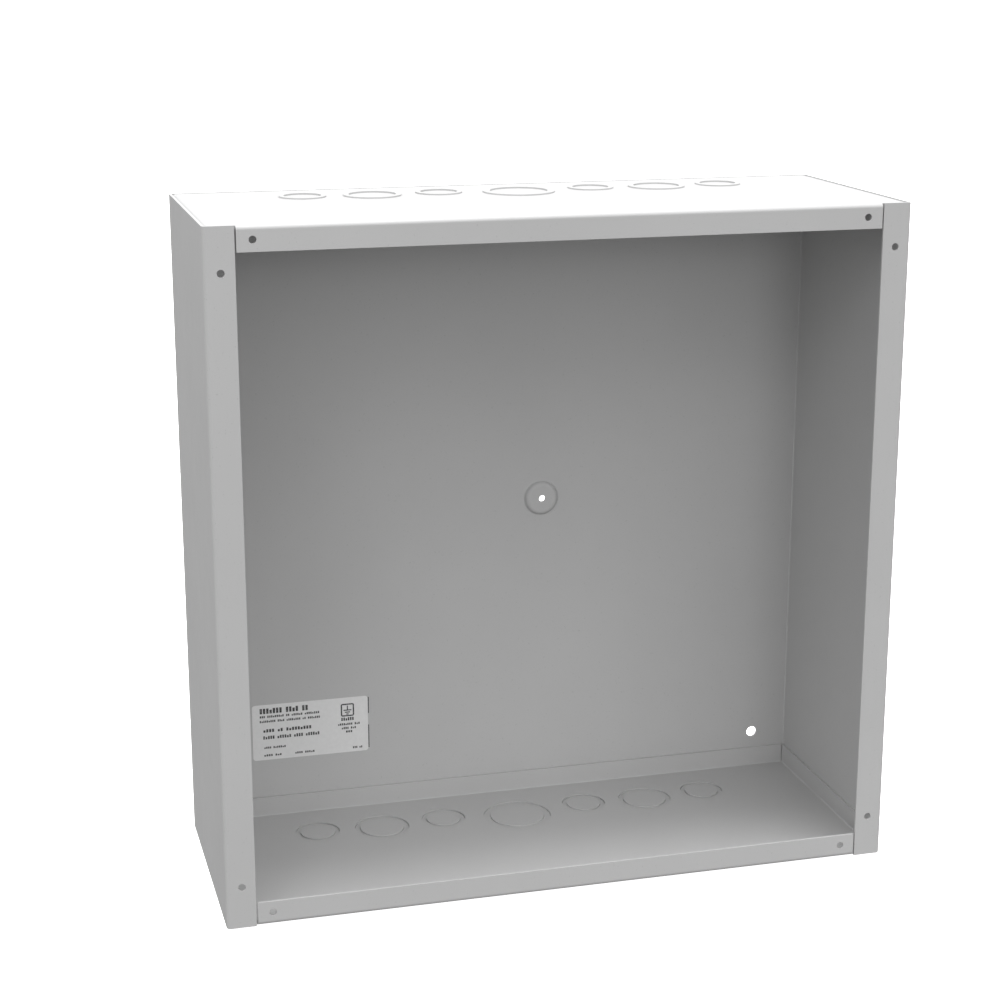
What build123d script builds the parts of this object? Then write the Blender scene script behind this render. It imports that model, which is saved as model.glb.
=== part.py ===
"""Surface-mount pull box, 16 x 16 x 6 inch, painted sheet steel, cover removed.

Frame: +X to the right and +Y to the back as seen from the open front, +Z up.
The origin is the centre of the footprint, on the plane of the lowest faces, which are
those of the bottom knockout rings.
"""
from build123d import *
import os

# Driving dimensions, in millimetres
INCH = 25.4
SHEET = 1.6
HEIGHT = 16 * INCH
WIDTH = 16 * INCH + 2 * SHEET
DEPTH = 6 * INCH + 2 * SHEET
BEND_INSIDE = 0.8
BEND_OUTSIDE = BEND_INSIDE + SHEET
EDGE_ROUND = 0.2

# The wrapper's front flanges, and the screw holes around the front for a cover
FRONT_FLANGE = 17.3
COVER_HOLE_RADIUS = 2.15
COVER_HOLE_REACH = 195.4
COVER_HOLE_ALONG = 7 * INCH

# Holes and the ground-screw boss in the back wall
WALL_HOLE_RADIUS = 3.6
WALL_HOLE_REACH = 179.4
WALL_HOLE_ALONG = 7 * INCH
BOSS_X = 27.4
BOSS_BELOW_MIDDLE = 0.35
BOSS_FOOT_RADIUS = 11.2
BOSS_TOP_RADIUS = 10.1
BOSS_RISE = 3.0
BOSS_TOP_ROUND = 3.0
BOSS_FOOT_ROUND = 1.0
BOSS_HOLE_RADIUS = 2.1

# End caps, which sit inside the ends of the wrapper, almost flush with them
CAP_RECESS = 0.1
CAP_FIT_GAP = 0.05
CAP_FRONT_GAP = 0.9
CAP_FRONT_FLANGE = 14.35
CAP_WALL_FLANGE = 14.2
CORNER_RELIEF = 1.95

# Double knockouts: hole diameters of the outer ring and of the inner slug
SMALL = (28.2, 22.2)
MEDIUM = (34.9, 28.2)
LARGE = (43.7, 34.9)
KNOCKOUTS = [
    (-130.2, SMALL),
    (-88.9, MEDIUM),
    (-47.6, SMALL),
    (0.0, LARGE),
    (47.6, SMALL),
    (88.9, MEDIUM),
    (130.2, SMALL),
]
KNOCKOUT_LINE = 22.5
RING_STEP = 0.9
SHEAR_GAP = 0.12
TIE_GAP = 0.02
TIE_WIDTH = 3.0

# Rating label on the back wall, placed from the middle and from the wrapper's lower edge
LABEL_WIDTH = 75.8
LABEL_HEIGHT = 37.8
LABEL_LEFT = -165.2
LABEL_TOP = 77.5
LABEL_THICKNESS = 0.3
LABEL_CORNER = 2.0

# Planes that several pieces share
FRONT = -DEPTH / 2
BACK = DEPTH / 2
BACK_INSIDE = BACK - SHEET
LOWER_EDGE = RING_STEP - CAP_RECESS
MIDDLE = LOWER_EDGE + HEIGHT / 2
CAP_TOP = LOWER_EDGE + HEIGHT - CAP_RECESS
CAP_UNDER = CAP_TOP - SHEET
BOSS_Z = MIDDLE - BOSS_BELOW_MIDDLE
CAP_HALF_WIDTH = WIDTH / 2 - SHEET - CAP_FIT_GAP
CAP_BACK = BACK_INSIDE - CAP_FIT_GAP
CORNERS = [(1, 1), (1, -1), (-1, 1), (-1, -1)]


def block(x_range, y_range, z_range):
    """A box from its limits along each axis."""
    size = [high - low for low, high in (x_range, y_range, z_range)]
    centre = [(high + low) / 2 for low, high in (x_range, y_range, z_range)]
    return Pos(*centre) * Box(*size)


def rod_along_y(x, z, radius, y_range):
    """A cylinder along Y, used to cut a round hole in a front or back wall."""
    low, high = y_range
    return Pos(x, (low + high) / 2, z) * Rot(90, 0, 0) * Cylinder(radius, high - low)


def rod_along_z(x, y, radius, z_range):
    """A cylinder along Z."""
    low, high = z_range
    return Pos(x, y, (low + high) / 2) * Cylinder(radius, high - low)


def folded_section():
    """The wrapper's section: back, two sides and the two front flanges."""
    outside = RectangleRounded(WIDTH, DEPTH, BEND_OUTSIDE)
    inside = RectangleRounded(WIDTH - 2 * SHEET, DEPTH - 2 * SHEET, BEND_INSIDE)
    mouth = Pos(0, FRONT) * Rectangle(WIDTH - 2 * FRONT_FLANGE, 4 * SHEET)
    return outside - inside - mouth


def boss_solid(set_in, depth, foot_y):
    """The boss as a solid that rises towards the front from the plane y = foot_y.

    Its side is set in by set_in, and its rounding is that of a surface that deep in the sheet.
    """
    top_radius = BOSS_TOP_RADIUS - set_in
    foot_radius = BOSS_FOOT_RADIUS - set_in
    skirt = foot_radius + 2 * SHEET
    root = SHEET / 2
    side = FilletPolyline(
        (0, -BOSS_RISE),
        (top_radius, -BOSS_RISE),
        (foot_radius, 0),
        (skirt, 0),
        radius=[BOSS_TOP_ROUND - depth, BOSS_FOOT_ROUND + depth],
    )
    close = Polyline((skirt, 0), (skirt, root), (0, root), (0, -BOSS_RISE))
    profile = make_face([side, close])
    return Pos(BOSS_X, foot_y, BOSS_Z) * revolve(profile, Axis.Y)


def make_wrapper():
    """Back, sides and front flanges, folded from one sheet."""
    shell = Pos(0, 0, LOWER_EDGE) * extrude(folded_section(), HEIGHT)
    # The boss keeps the sheet's thickness, so its back is the same cone, set in by the sheet
    slope = (BOSS_FOOT_RADIUS - BOSS_TOP_RADIUS) / BOSS_RISE
    set_in = SHEET * ((1 + slope**2) ** 0.5 - slope)
    shell = shell + boss_solid(0, 0, BACK_INSIDE) - boss_solid(set_in, SHEET, BACK)
    shell -= rod_along_y(BOSS_X, BOSS_Z, BOSS_HOLE_RADIUS, (BACK - 4 * BOSS_RISE, BACK + 1))
    for side, end in CORNERS:
        x = side * WALL_HOLE_REACH
        z = MIDDLE + end * WALL_HOLE_ALONG
        shell -= rod_along_y(x, z, WALL_HOLE_RADIUS, (BACK_INSIDE - 1, BACK + 1))
        x = side * COVER_HOLE_REACH
        z = MIDDLE + end * COVER_HOLE_ALONG
        shell -= rod_along_y(x, z, COVER_HOLE_RADIUS, (FRONT - 1, FRONT + SHEET + 1))
    return shell


def tray(half_width, y_range, top, bend_radius):
    """A box with its four upper edges rounded: the outside or the inside of an end cap."""
    bottom = top - 2 * CAP_WALL_FLANGE
    body = block((-half_width, half_width), y_range, (bottom, top))
    upper_edges = body.faces().sort_by(Axis.Z)[-1].edges()
    return fillet(upper_edges, bend_radius)


def knockout_centre_y(diameter):
    """The knockouts' outer circles all touch one line, set in from the back."""
    return BACK - KNOCKOUT_LINE - diameter / 2


def make_top_cap():
    """The upper end cap: a plate with four flanges, notched at its corners."""
    outside = tray(CAP_HALF_WIDTH, (FRONT, CAP_BACK), CAP_TOP, BEND_OUTSIDE)
    hollow = (FRONT + SHEET, CAP_BACK - SHEET)
    inside = tray(CAP_HALF_WIDTH - SHEET, hollow, CAP_UNDER, BEND_INSIDE)
    cap = outside - inside
    below = CAP_TOP - 3 * CAP_WALL_FLANGE
    everywhere = (below, CAP_TOP + 1)
    wide = (-WIDTH / 2, WIDTH / 2)
    # Trim the front flange and the three wall flanges to length
    behind_front = FRONT + SHEET + BEND_INSIDE
    cap -= block(wide, (FRONT - 1, behind_front), (below, CAP_TOP - CAP_FRONT_FLANGE))
    cap -= block(wide, (behind_front, BACK), (below, CAP_TOP - CAP_WALL_FLANGE))
    # Clear the wrapper's front flanges and relieve the corners
    flange_end = WIDTH / 2 - FRONT_FLANGE - CAP_FRONT_GAP
    behind_flange = FRONT + SHEET + CAP_FIT_GAP
    for side in (-1, 1):
        outward = sorted((side * flange_end, side * WIDTH / 2))
        corner = sorted((side * (CAP_HALF_WIDTH - CORNER_RELIEF), side * WIDTH / 2))
        cap -= block(outward, (FRONT - 1, behind_flange), everywhere)
        cap -= block(corner, (FRONT - 1, behind_flange + CORNER_RELIEF), everywhere)
        cap -= block(corner, (CAP_BACK - CORNER_RELIEF, BACK), everywhere)
    for x, (ring_diameter, _) in KNOCKOUTS:
        y = knockout_centre_y(ring_diameter)
        cap -= rod_along_z(x, y, ring_diameter / 2, (CAP_UNDER - 1, CAP_TOP + 1))
    for x in (-COVER_HOLE_ALONG, COVER_HOLE_ALONG):
        z = MIDDLE + COVER_HOLE_REACH
        cap -= rod_along_y(x, z, COVER_HOLE_RADIUS, (FRONT - 1, FRONT + SHEET + 1))
    return cap


def punched_disc(x, y, hole_radius, bottom, tie_side):
    """A disc sheared out of a hole, with the tie that still holds its edge at tie_side of Y."""
    heights = (bottom, bottom + SHEET)
    disc = rod_along_z(x, y, hole_radius - SHEAR_GAP, heights)
    disc = fillet(disc.edges().filter_by(GeomType.CIRCLE), EDGE_ROUND)
    reach = rod_along_z(x, y, hole_radius - TIE_GAP, heights)
    tie_zone = sorted((y + tie_side * (hole_radius - 1), y + tie_side * (hole_radius + 1)))
    tie = reach & block((x - TIE_WIDTH / 2, x + TIE_WIDTH / 2), tie_zone, heights)
    return disc + tie


def make_top_ring(x, diameters):
    """The outer ring of a double knockout, stepped outwards and tied at its back edge."""
    ring_diameter, slug_diameter = diameters
    y = knockout_centre_y(ring_diameter)
    bottom = CAP_UNDER + RING_STEP
    ring = punched_disc(x, y, ring_diameter / 2, bottom, 1)
    return ring - rod_along_z(x, y, slug_diameter / 2, (bottom - 1, bottom + SHEET + 1))


def make_top_slug(x, diameters):
    """The inner slug of a double knockout, level with the cap and tied at its front edge."""
    ring_diameter, slug_diameter = diameters
    y = knockout_centre_y(ring_diameter)
    return punched_disc(x, y, slug_diameter / 2, CAP_UNDER, -1)


def turned_over(piece):
    """The bottom end is the top end, turned half a turn about the box's Y axis."""
    return Pos(0, 0, 2 * MIDDLE) * Rot(0, 180, 0) * piece


def make_label():
    """The rating label, stuck to the inside of the back wall."""
    face = RectangleRounded(LABEL_WIDTH, LABEL_HEIGHT, LABEL_CORNER)
    sheet = extrude(face, LABEL_THICKNESS)
    x = LABEL_LEFT + LABEL_WIDTH / 2
    z = LOWER_EDGE + LABEL_TOP - LABEL_HEIGHT / 2
    return Pos(x, BACK_INSIDE, z) * Rot(90, 0, 0) * sheet


def make_all():
    """Every piece by its node name; knockouts are numbered from the left."""
    cap = make_top_cap()
    pieces = {
        "wrapper": make_wrapper(),
        "top_end_cap": cap,
        "bottom_end_cap": turned_over(cap),
        "rating_label": make_label(),
    }
    for index, (x, diameters) in enumerate(KNOCKOUTS):
        ring = make_top_ring(x, diameters)
        slug = make_top_slug(x, diameters)
        from_left = index + 1
        from_right = len(KNOCKOUTS) - index
        pieces[f"top_knockout_ring_{from_left}"] = ring
        pieces[f"top_knockout_slug_{from_left}"] = slug
        pieces[f"bottom_knockout_ring_{from_right}"] = turned_over(ring)
        pieces[f"bottom_knockout_slug_{from_right}"] = turned_over(slug)
    return pieces


os.makedirs("parts", exist_ok=True)
for node, piece in make_all().items():
    export_step(piece, f"parts/{node}.step")
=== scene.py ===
"""The looks of a steel pull box without its cover: enamel, label, light and camera.

Sizes are in metres and angles in degrees. Azimuth 0 is in front of the box and -90 is on its left.
"""

import math

import bmesh
import bpy
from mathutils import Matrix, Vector


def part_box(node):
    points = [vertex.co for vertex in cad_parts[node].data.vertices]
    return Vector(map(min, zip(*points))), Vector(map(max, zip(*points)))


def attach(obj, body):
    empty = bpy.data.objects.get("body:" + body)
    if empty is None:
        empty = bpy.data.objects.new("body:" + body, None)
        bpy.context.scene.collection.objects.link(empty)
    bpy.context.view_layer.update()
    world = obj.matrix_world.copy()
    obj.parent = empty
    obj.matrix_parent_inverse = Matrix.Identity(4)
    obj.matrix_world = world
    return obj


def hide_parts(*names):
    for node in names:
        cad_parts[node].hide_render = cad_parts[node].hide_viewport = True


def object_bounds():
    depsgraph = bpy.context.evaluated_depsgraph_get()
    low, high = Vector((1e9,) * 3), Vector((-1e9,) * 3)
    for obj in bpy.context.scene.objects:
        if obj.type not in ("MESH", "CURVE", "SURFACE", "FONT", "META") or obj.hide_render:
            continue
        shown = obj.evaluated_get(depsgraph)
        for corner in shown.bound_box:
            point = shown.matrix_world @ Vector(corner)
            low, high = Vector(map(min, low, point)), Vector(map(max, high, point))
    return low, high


MM = 0.001

# Camera, with its lens and sensor in mm
CAMERA_AZIMUTH = -15.05
CAMERA_ELEVATION = 14.99
CAMERA_DISTANCE = 1.2688
CAMERA_LENS = 75.24
SENSOR_WIDTH = 36.0
CLIP_NEAR = 0.01
CLIP_FAR = 200.0
# Where it aims, off the middle of the box, in parts of the box's width and height
AIM_LEFT = 0.0503
AIM_UP = 0.0514

# Light: (name, azimuth, elevation, width as an angle, strength). They shine from far off, so
# their distance only says where they are drawn
LIGHT_DISTANCE = 2.0
SOFT_LIGHTS = [
    ("overhead_light", 0, 90, 26, 2.8),
    ("high_left_light", -90, 60, 40, 0.27),
    ("high_right_light", 30, 60, 40, 0.62),
    ("key_light", -30, 35, 15, 0.17),
    ("low_left_light", -60, 10, 15, 0.10),
    ("low_front_light", 0, 10, 15, 0.28),
]
SKY_STRENGTH = 1.07
GROUND_STRENGTH = 0.30
# How far below the horizon the surround turns from the one to the other
HORIZON_BLEND = 0.1

# Floor
FLOOR_HALF = 60.0
FLOOR_GAP = 0.05 * MM

# Label film
FILM_THICKNESS = 0.12 * MM
FILM_CORNER = 2.0 * MM
FILM_CORNER_STEP = 15
FILM_FLAT_COLUMNS = 40
FILM_CURL_COLUMNS = 8
FILM_ROWS = 36
FILM_SHARP_ANGLE = 40
CURL_REACH = 5.0 * MM
CURL_LIFT = 0.2 * MM
# The part of the lift that is the same all down the edge
CURL_EVEN = 0.3

# Print, and a painted shadow beside it
INK_THICKNESS = 0.015 * MM
SHADOW_STRIP_THICKNESS = 0.04 * MM
ARC_STEPS = 4
GLYPH_GAP = 0.28
GLYPH_SHORT = 0.36
GLYPH_TALL = 0.5
GLYPH_CORNER = 0.25
# Lines of print: (start, end, middle from the top, height) in mm, and the letters in each word
PRINT_LINES = [
    (4.7, 36.6, 4.3, 3.6, (7, 4, 2)),
    (4.8, 43.8, 8.2, 1.5, (3, 9, 2, 6, 8)),
    (4.7, 44.2, 11.4, 1.5, (9, 4, 8, 2, 7)),
    (6.8, 38.5, 17.8, 2.2, (4, 2, 9)),
    (6.6, 43.7, 22.5, 2.2, (5, 6, 4, 6)),
    (7.2, 21.4, 29.4, 1.4, (4, 7)),
    (7.0, 18.6, 34.7, 1.4, (4, 3)),
    (27.2, 40.2, 34.7, 1.4, (4, 5)),
    (65.3, 71.8, 34.9, 1.4, (3, 2)),
    (57.9, 66.5, 14.8, 2.2, (6,)),
    (55.8, 70.4, 18.3, 1.5, (8, 3)),
    (58.2, 67.8, 21.0, 1.5, (4, 3)),
    (60.9, 65.4, 23.5, 1.5, (3,)),
]
# A painted shadow: dark strips on the wall beside the film's right edge, in mm: (start, end) from
# the top
SHADOW_STRIP_RUNS = [(0.9, 12.2), (20.1, 35.9)]
SHADOW_STRIP_WIDTH = 0.7
SHADOW_STRIP_CORNER = 0.2
# The earth symbol, in mm: a frame, a stem and three bars, which are (half width, way down)
EMBLEM_MIDDLE = (62.3, 8.6)
EMBLEM_HALF = 4.4
EMBLEM_CORNER = 1.2
EMBLEM_LINE = 0.9
EARTH_BARS = [(2.6, 0.1), (1.7, 1.5), (0.8, 2.8)]
EARTH_LINE = 0.75
EARTH_STEM_RISE = 3.0
EARTH_STEM_CORNER = 0.05
EARTH_BAR_CORNER = 0.1

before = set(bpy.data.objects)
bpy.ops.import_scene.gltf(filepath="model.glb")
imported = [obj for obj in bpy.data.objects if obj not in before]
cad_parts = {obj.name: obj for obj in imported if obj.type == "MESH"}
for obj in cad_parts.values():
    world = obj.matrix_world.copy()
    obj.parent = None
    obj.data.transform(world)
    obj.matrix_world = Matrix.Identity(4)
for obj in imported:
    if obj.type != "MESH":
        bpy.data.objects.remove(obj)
cad_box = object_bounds()
lowest, highest = cad_box
centre = (lowest + highest) / 2
size = highest - lowest


def link(name, data):
    """A new object in the scene."""
    thing = bpy.data.objects.new(name, data)
    bpy.context.scene.collection.objects.link(thing)
    return thing


def direction(azimuth, elevation):
    """The unit vector from the box towards that azimuth and elevation."""
    a = math.radians(azimuth)
    e = math.radians(elevation)
    return Vector((math.sin(a) * math.cos(e), -math.cos(a) * math.cos(e), math.sin(e)))


def make_camera():
    """A long lens in front of the box, from its left and above."""
    data = bpy.data.cameras.new("camera")
    data.sensor_width = SENSOR_WIDTH
    data.lens = CAMERA_LENS
    data.clip_start = CLIP_NEAR
    data.clip_end = CLIP_FAR
    camera = link("camera", data)
    target = centre + Vector((-AIM_LEFT * size.x, 0, AIM_UP * size.z))
    towards = direction(CAMERA_AZIMUTH, CAMERA_ELEVATION)
    camera.location = target + CAMERA_DISTANCE * towards
    camera.rotation_euler = (-towards).to_track_quat("-Z", "Y").to_euler()
    bpy.context.scene.camera = camera


def make_lights():
    """Soft lights from above, from the left and in front."""
    for name, azimuth, elevation, width, strength in SOFT_LIGHTS:
        data = bpy.data.lights.new(name, "SUN")
        data.energy = strength
        data.angle = math.radians(width)
        light = link(name, data)
        towards = direction(azimuth, elevation)
        light.location = centre + LIGHT_DISTANCE * towards
        light.rotation_euler = (-towards).to_track_quat("-Z", "Y").to_euler()


def make_sky():
    """An even white surround, dimmer below the horizon."""
    world = bpy.data.worlds.new("surround")
    world.use_nodes = True
    bpy.context.scene.world = world
    add = node_adder(world.node_tree)
    way = add("ShaderNodeTexCoord").outputs["Generated"]
    height = add("ShaderNodeSeparateXYZ", {"Vector": way}).outputs["Z"]
    level = add(
        "ShaderNodeMapRange",
        {"Value": height, "From Min": -HORIZON_BLEND, "From Max": 0.0,
         "To Min": GROUND_STRENGTH, "To Max": SKY_STRENGTH},
    )
    background = world.node_tree.nodes["Background"]
    background.inputs["Color"].default_value = (1.0, 1.0, 1.0, 1.0)
    world.node_tree.links.new(level.outputs["Result"], background.inputs["Strength"])


def node_adder(tree):
    """A function that adds a node to the tree, with its inputs set or linked."""

    def add(kind, inputs=None, **settings):
        node = tree.nodes.new(kind)
        for key, value in settings.items():
            setattr(node, key, value)
        for key, value in (inputs or {}).items():
            if isinstance(value, bpy.types.NodeSocket):
                tree.links.new(value, node.inputs[key])
            else:
                node.inputs[key].default_value = value
        return node

    return add


def new_material(name):
    """A material, its node adder, its shader's inputs and a function that links to them."""
    material = bpy.data.materials.new(name)
    material.use_nodes = True
    tree = material.node_tree
    shader = tree.nodes["Principled BSDF"]

    def feed(key, socket):
        tree.links.new(socket, shader.inputs[key])

    return material, node_adder(tree), shader.inputs, feed


def grey(level):
    """A neutral colour."""
    return (level, level, level, 1.0)


def noise(add, place, per_metre, detail=2.0, rough=0.5):
    """Noise with that many features per metre."""
    settings = {"Vector": place, "Scale": per_metre, "Detail": detail, "Roughness": rough}
    return add("ShaderNodeTexNoise", settings).outputs["Fac"]


def ranged(add, value, low, high, to_low=0.0, to_high=1.0):
    """A value stretched from one range to another, and held inside it."""
    limits = {"Value": value, "From Min": low, "From Max": high}
    limits.update({"To Min": to_low, "To Max": to_high})
    return add("ShaderNodeMapRange", limits).outputs["Result"]


def bumped(add, value, strength, height, under=None):
    """A normal with relief of that height in it, laid over another normal where one is given."""
    settings = {"Height": value, "Strength": strength, "Distance": height}
    if under is not None:
        settings["Normal"] = under
    return add("ShaderNodeBump", settings).outputs["Normal"]


def mixed(add, factor, first, second):
    """A blend of two colours, each a colour or a socket."""
    return add("ShaderNodeMix", {0: factor, 6: first, 7: second}, data_type="RGBA").outputs[2]


def enamel():
    """Grey baked enamel over sheet steel."""
    material, add, inputs, feed = new_material("grey_enamel")
    place = add("ShaderNodeTexCoord").outputs["Object"]
    # Slow drift in tone from sheet to sheet, and small specks baked into the paint
    drift = ranged(add, noise(add, place, per_metre=7.0, detail=5.0, rough=0.55), 0.3, 0.7)
    coat = mixed(add, drift, grey(0.440), grey(0.462))
    specks = ranged(add, noise(add, place, per_metre=820.0, detail=1.0), 0.70, 0.78)
    coat = mixed(add, specks, coat, grey(0.40))
    # Paint pulls thin over sheared edges and bends, where it is paler
    round_normal = add("ShaderNodeBevel", {"Radius": 0.5 * MM}, samples=6).outputs["Normal"]
    true_normal = add("ShaderNodeNewGeometry").outputs["Normal"]
    vectors = {0: round_normal, 1: true_normal}
    flatness = add("ShaderNodeVectorMath", vectors, operation="DOT_PRODUCT").outputs["Value"]
    patches = noise(add, place, per_metre=260.0, detail=3.0)
    patchy = ranged(add, patches, 0.35, 0.65, 0.25, 0.75)
    edge = ranged(add, flatness, 0.98, 0.80)
    worn = add("ShaderNodeMath", {0: edge, 1: patchy}, operation="MULTIPLY").outputs["Value"]
    feed("Base Color", mixed(add, worn, coat, grey(0.50)))
    # Handling leaves faint changes in gloss
    handled = noise(add, place, per_metre=28.0, detail=6.0, rough=0.6)
    feed("Roughness", ranged(add, handled, 0.35, 0.65, 0.46, 0.58))
    inputs["Specular IOR Level"].default_value = 0.35
    # Orange peel, on top of the sheet's own slow waviness
    waves = noise(add, place, per_metre=14.0, detail=1.0)
    sheet = bumped(add, waves, strength=0.35, height=0.25 * MM)
    peel = noise(add, place, per_metre=620.0, detail=2.0, rough=0.45)
    feed("Normal", bumped(add, peel, strength=0.5, height=0.02 * MM, under=sheet))
    return material


def label_film():
    """Matte silver-grey printed film."""
    material, add, inputs, feed = new_material("label_film")
    place = add("ShaderNodeTexCoord").outputs["Object"]
    mottle = ranged(add, noise(add, place, per_metre=340.0, detail=4.0, rough=0.6), 0.3, 0.7)
    feed("Base Color", mixed(add, mottle, grey(0.665), grey(0.705)))
    sheen = noise(add, place, per_metre=90.0, detail=3.0)
    feed("Roughness", ranged(add, sheen, 0.3, 0.7, 0.42, 0.56))
    inputs["Specular IOR Level"].default_value = 0.4
    grain = noise(add, place, per_metre=1500.0)
    feed("Normal", bumped(add, grain, strength=0.25, height=0.01 * MM))
    return material


def print_ink():
    """Thin black thermal print, which misses in places and lets the film show."""
    material, add, inputs, feed = new_material("print_ink")
    place = add("ShaderNodeTexCoord").outputs["Object"]
    gaps = noise(add, place, per_metre=1400.0, detail=3.0, rough=0.7)
    missed = ranged(add, gaps, 0.55, 0.72)
    feed("Base Color", mixed(add, missed, grey(0.045), grey(0.36)))
    sheen = noise(add, place, per_metre=600.0)
    feed("Roughness", ranged(add, sheen, 0.3, 0.7, 0.35, 0.55))
    inputs["Specular IOR Level"].default_value = 0.4
    return material


def edge_shadow_paint():
    """Near-black paint: a painted shadow beside the film's right edge."""
    material, add, inputs, feed = new_material("edge_shadow_paint")
    place = add("ShaderNodeTexCoord").outputs["Object"]
    shadow_speckle = ranged(add, noise(add, place, per_metre=900.0, detail=4.0, rough=0.65), 0.35, 0.65)
    # Painted shadow: near-black, mottled
    feed("Base Color", mixed(add, shadow_speckle, grey(0.02), grey(0.09)))
    sheen = noise(add, place, per_metre=2000.0)
    feed("Roughness", ranged(add, sheen, 0.3, 0.7, 0.7, 0.95))
    inputs["Specular IOR Level"].default_value = 0.3
    return material


def floor_paint():
    """A pale matte studio floor that glows evenly, as a light table does."""
    material, add, inputs, feed = new_material("studio_floor")
    place = add("ShaderNodeTexCoord").outputs["Object"]
    drift = ranged(add, noise(add, place, per_metre=3.0, detail=3.0), 0.3, 0.7)
    feed("Base Color", mixed(add, drift, grey(0.86), grey(0.88)))
    inputs["Emission Color"].default_value = grey(1.0)
    inputs["Emission Strength"].default_value = 1.0
    inputs["Roughness"].default_value = 0.9
    inputs["Specular IOR Level"].default_value = 0.1
    material.cycles.emission_sampling = "NONE"
    return material


def make_floor():
    """A wide floor just under the box, hidden from the light that bounces on to the box."""
    half = FLOOR_HALF
    z = lowest.z - FLOOR_GAP
    mesh = bpy.data.meshes.new("floor")
    corners = [(-half, -half, z), (half, -half, z), (half, half, z), (-half, half, z)]
    mesh.from_pydata(corners, [], [(0, 1, 2, 3)])
    mesh.materials.append(floor_paint())
    floor = link("floor", mesh)
    floor.visible_diffuse = False
    floor.visible_glossy = False


class Label:
    """The label's place on the back wall: u runs right and v down from its top left corner."""

    def __init__(self, node):
        low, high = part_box(node)
        self.left = low.x
        self.top = high.z
        self.wall = high.y
        self.width = high.x - low.x
        self.height = high.z - low.z

    def lift(self, u, v):
        """How far the film stands off the wall: its right edge curls in two places."""
        along = max(0.0, (u - self.width + CURL_REACH) / CURL_REACH)
        waves = 0.5 - 0.5 * math.cos(4 * math.pi * v / self.height)
        return CURL_LIFT * along**2 * (CURL_EVEN + (1 - CURL_EVEN) * waves)

    def point(self, u, v, height):
        """The point at that height over the film's back."""
        return Vector((self.left + u, self.wall - self.lift(u, v) - height, self.top - v))


def finish_mesh(name, mesh_data, material):
    """Turns mesh code into an object that rides on the box."""
    mesh = bpy.data.meshes.new(name)
    bmesh.ops.recalc_face_normals(mesh_data, faces=mesh_data.faces)
    mesh_data.to_mesh(mesh)
    mesh_data.free()
    mesh.materials.append(material)
    piece = link(name, mesh)
    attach(piece, "enclosure")
    return piece


def evenly(start, end, count):
    """That many evenly spaced places after the start, the last of them at the end."""
    return [start + i * (end - start) / count for i in range(1, count + 1)]


def film_columns(label):
    """Places across the film, closer together round its corners and along its curl."""
    angles = range(0, 91, FILM_CORNER_STEP)
    turns = [FILM_CORNER * (1 - math.cos(math.radians(angle))) for angle in angles]
    start = label.width - CURL_REACH
    flat = evenly(FILM_CORNER, start, FILM_FLAT_COLUMNS)
    curl = evenly(start, label.width - FILM_CORNER, FILM_CURL_COLUMNS)
    return turns + flat + curl + [label.width - turn for turn in reversed(turns[:-1])]


def make_film(label, material):
    """The film: a thin sheet with rounded corners and a curled right edge."""
    mesh_data = bmesh.new()
    grids = []
    for height in (0.0, FILM_THICKNESS):
        grid = []
        for u in film_columns(label):
            from_end = min(u, label.width - u, FILM_CORNER)
            trim = FILM_CORNER - math.sqrt(FILM_CORNER**2 - (FILM_CORNER - from_end) ** 2)
            span = label.height - 2 * trim
            downs = [trim + span * i / FILM_ROWS for i in range(FILM_ROWS + 1)]
            grid.append([mesh_data.verts.new(label.point(u, v, height)) for v in downs])
        grids.append(grid)
    back, front = grids
    last = len(back) - 1
    for i in range(last):
        for j in range(FILM_ROWS):
            for grid in grids:
                corners = (grid[i][j], grid[i + 1][j], grid[i + 1][j + 1], grid[i][j + 1])
                mesh_data.faces.new(corners)
        for j in (0, FILM_ROWS):
            mesh_data.faces.new((back[i][j], back[i + 1][j], front[i + 1][j], front[i][j]))
    for i in (0, last):
        for j in range(FILM_ROWS):
            mesh_data.faces.new((back[i][j], back[i][j + 1], front[i][j + 1], front[i][j]))
    film = finish_mesh("label_film", mesh_data, material)
    for polygon in film.data.polygons:
        polygon.use_smooth = True
    film.data.set_sharp_from_angle(angle=math.radians(FILM_SHARP_ANGLE))
    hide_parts("rating_label")


def rounded_outline(u, v, half_width, half_height, corner):
    """The outline of a rounded rectangle round a middle point, all in mm."""
    outline = []
    for quarter, (side, end) in enumerate([(1, 1), (-1, 1), (-1, -1), (1, -1)]):
        for step in range(ARC_STEPS + 1):
            angle = math.radians(90 * (quarter + step / ARC_STEPS))
            x = u + side * (half_width - corner) + corner * math.cos(angle)
            y = v + end * (half_height - corner) + corner * math.sin(angle)
            outline.append((x, y))
    return outline


def slab_rings(mesh_data, lower, upper):
    """The vertices round a slab's two faces, with the slab's sides between them."""
    rings = [[mesh_data.verts.new(p) for p in points] for points in (lower, upper)]
    for i in range(len(lower)):
        j = (i + 1) % len(lower)
        mesh_data.faces.new((rings[0][i], rings[0][j], rings[1][j], rings[1][i]))
    return rings


def print_shape(mesh_data, label, outline, hole=None):
    """One printed shape as a thin raised slab on the film, with an optional hole through it."""
    levels = (FILM_THICKNESS, FILM_THICKNESS + INK_THICKNESS)
    loops = []
    for loop in filter(None, (outline, hole)):
        faces = [[label.point(x * MM, y * MM, height) for x, y in loop] for height in levels]
        loops.append(slab_rings(mesh_data, *faces))
    for level in (0, 1):
        if hole is None:
            mesh_data.faces.new(loops[0][level])
            continue
        outer = loops[0][level]
        inner = loops[1][level]
        for i in range(len(outer)):
            j = (i + 1) % len(outer)
            mesh_data.faces.new((outer[i], outer[j], inner[j], inner[i]))


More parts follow.
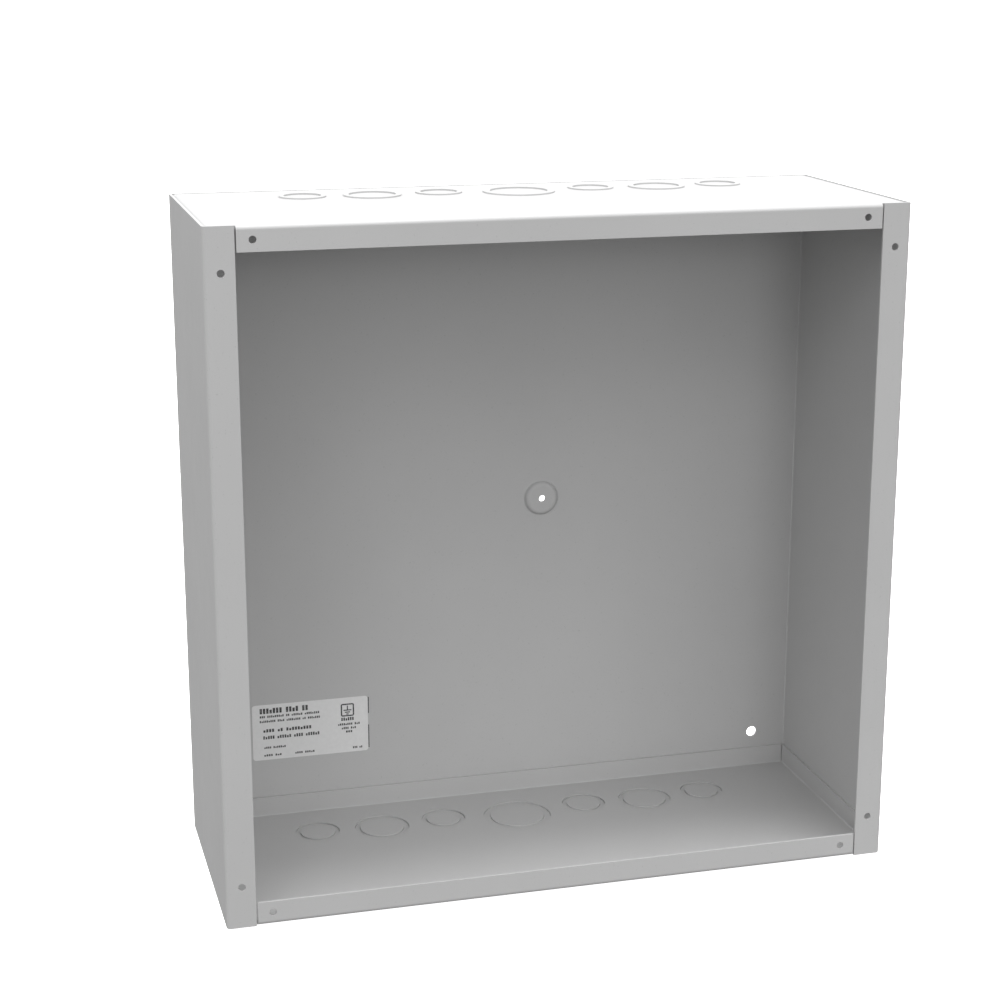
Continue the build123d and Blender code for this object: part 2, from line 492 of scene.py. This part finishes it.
def make_painted_shadow(label, material):
    """Two thin dark strips on the wall beside the film's right edge: a painted shadow."""
    mesh_data = bmesh.new()
    half = SHADOW_STRIP_WIDTH / 2
    middle = label.left + label.width + half * MM
    for start, end in SHADOW_STRIP_RUNS:
        outline = rounded_outline(0, (start + end) / 2, half, (end - start) / 2, SHADOW_STRIP_CORNER)
        faces = [
            [(middle + x * MM, label.wall - height, label.top - v * MM) for x, v in outline]
            for height in (0.0, SHADOW_STRIP_THICKNESS)
        ]
        for ring in slab_rings(mesh_data, *faces):
            mesh_data.faces.new(ring)
    finish_mesh("label_painted_shadow", mesh_data, material)


def print_line(mesh_data, label, start, end, middle, height, words):
    """A line of plain blocks that stand for letters, with a space after each word."""
    pitch = (end - start) / (sum(words) + len(words) - 1)
    u = start + pitch / 2
    for number, letters in enumerate(words):
        for letter in range(letters):
            half_width = pitch * (1 - GLYPH_GAP) / 2
            short = (3 * letter + 2 * number + letters) % 4 == 0
            half_height = height * (GLYPH_SHORT if short else GLYPH_TALL)
            v = middle + height / 2 - half_height
            corner = GLYPH_CORNER * half_width
            outline = rounded_outline(u, v, half_width, half_height, corner)
            print_shape(mesh_data, label, outline)
            u += pitch
        u += pitch


def print_emblem(mesh_data, label):
    """The earth symbol, which marks where the box is bonded, in a rounded frame."""
    u, v = EMBLEM_MIDDLE
    outside = rounded_outline(u, v, EMBLEM_HALF, EMBLEM_HALF, EMBLEM_CORNER)
    inner_half = EMBLEM_HALF - EMBLEM_LINE
    inside = rounded_outline(u, v, inner_half, inner_half, EMBLEM_CORNER - EMBLEM_LINE)
    print_shape(mesh_data, label, outside, inside)
    half_line = EARTH_LINE / 2
    stem_top = v - EARTH_STEM_RISE
    bar_top = v + EARTH_BARS[0][1] - half_line
    stem_half = (bar_top - stem_top) / 2
    stem = rounded_outline(u, stem_top + stem_half, half_line, stem_half, EARTH_STEM_CORNER)
    print_shape(mesh_data, label, stem)
    for half_width, below in EARTH_BARS:
        bar = rounded_outline(u, v + below, half_width, half_line, EARTH_BAR_CORNER)
        print_shape(mesh_data, label, bar)


def make_print(label, material):
    """All the print on the label, as one piece."""
    mesh_data = bmesh.new()
    for start, end, middle, height, words in PRINT_LINES:
        print_line(mesh_data, label, start, end, middle, height, words)
    print_emblem(mesh_data, label)
    finish_mesh("label_print", mesh_data, material)


def paint_nodes():
    """Puts the enamel on every steel node."""
    steel = enamel()
    for name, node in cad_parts.items():
        if name != "rating_label":
            node.data.materials.clear()
            node.data.materials.append(steel)


make_camera()
paint_nodes()
rating_label = Label("rating_label")
make_film(rating_label, label_film())
make_print(rating_label, print_ink())
# A painted shadow on the wall beside the label's right edge
make_painted_shadow(rating_label, edge_shadow_paint())
make_floor()
make_sky()
make_lights()
bpy.context.scene.view_settings.view_transform = "Standard"
